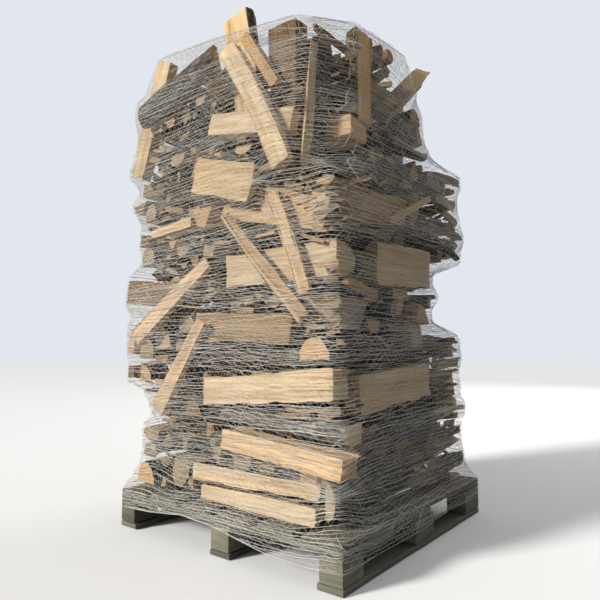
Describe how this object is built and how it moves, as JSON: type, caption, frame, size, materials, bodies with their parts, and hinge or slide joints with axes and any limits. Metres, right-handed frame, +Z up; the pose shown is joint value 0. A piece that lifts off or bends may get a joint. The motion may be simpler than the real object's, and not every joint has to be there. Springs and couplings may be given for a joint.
{
  "type": "netted pallet of split firewood",
  "caption": "Split firewood logs piled high on a wooden pallet and wrapped in a stretched knitted pallet net.",
  "frame": {"origin": "middle of the pallet's underside, on the middle bottom board", "axes": "+Z up along the load's height, -Y out of the front face (a fork truck's side), +X out of the right face; the bottom boards run along Y"},
  "size_m": [1.1158, 1.011, 1.9394],
  "materials": {
    "split_wood": "rough split face",
    "bark": "rough bark",
    "firewood": "rough split wood and bark",
    "pallet_boards": "weathered sawn wood",
    "pallet_blocks": "weathered pressed wood",
    "net": "knitted plastic net"
  },
  "bodies": {
    "root": {"firewood-heap": "firewood", "pallet-block-back-left": "pallet_blocks", "pallet-block-back-middle": "pallet_blocks", "pallet-block-back-right": "pallet_blocks", "pallet-block-centre-left": "pallet_blocks", "pallet-block-centre-middle": "pallet_blocks", "pallet-block-centre-right": "pallet_blocks", "pallet-block-front-left": "pallet_blocks", "pallet-block-front-middle": "pallet_blocks", "pallet-block-front-right": "pallet_blocks", "pallet-bottom-board-left": "pallet_boards", "pallet-bottom-board-middle": "pallet_boards", "pallet-bottom-board-right": "pallet_boards", "pallet-deck-board-1": "pallet_boards", "pallet-deck-board-2": "pallet_boards", "pallet-deck-board-3": "pallet_boards", "pallet-deck-board-4": "pallet_boards", "pallet-deck-board-5": "pallet_boards", "pallet-deck-board-6": "pallet_boards", "pallet-net": "net", "pallet-stringer-back": "pallet_boards", "pallet-stringer-centre": "pallet_boards", "pallet-stringer-front": "pallet_boards", "split-back-leaning": "split_wood", "split-back-level": "split_wood", "split-corner-golden-end": "split_wood", "split-corner-grey-wedge": "split_wood", "split-corner-half-round": "split_wood", "split-corner-low-bark": "bark", "split-corner-standing-wedge": "split_wood", "split-corner-wide-face": "split_wood", "split-front-big-bright": "split_wood", "split-front-dark-bark": "bark", "split-front-golden-end": "split_wood", "split-front-grey-bark": "bark", "split-front-left-leaning": "split_wood", "split-front-left-poking-out": "split_wood", "split-front-long-leaning": "split_wood", "split-front-long-slat": "split_wood", "split-front-low-bright": "split_wood", "split-front-low-leaning": "split_wood", "split-front-low-pale": "split_wood", "split-front-on-deck": "split_wood", "split-front-pale-block": "split_wood", "split-front-pale-face": "split_wood", "split-front-short-slat": "split_wood", "split-front-wide-slab": "split_wood", "split-left-corner-low-end": "split_wood", "split-left-edge-standing": "split_wood", "split-left-leaning": "split_wood", "split-left-level": "bark", "split-right-big-mid": "split_wood", "split-right-big-pale": "split_wood", "split-right-brown": "split_wood", "split-right-low-bark": "bark", "split-right-standing": "split_wood", "split-right-top-rising": "split_wood", "split-top-poking-out": "split_wood", "split-top-rising-bark": "bark", "split-top-wide-standing": "split_wood"}
  },
  "joints": []
}
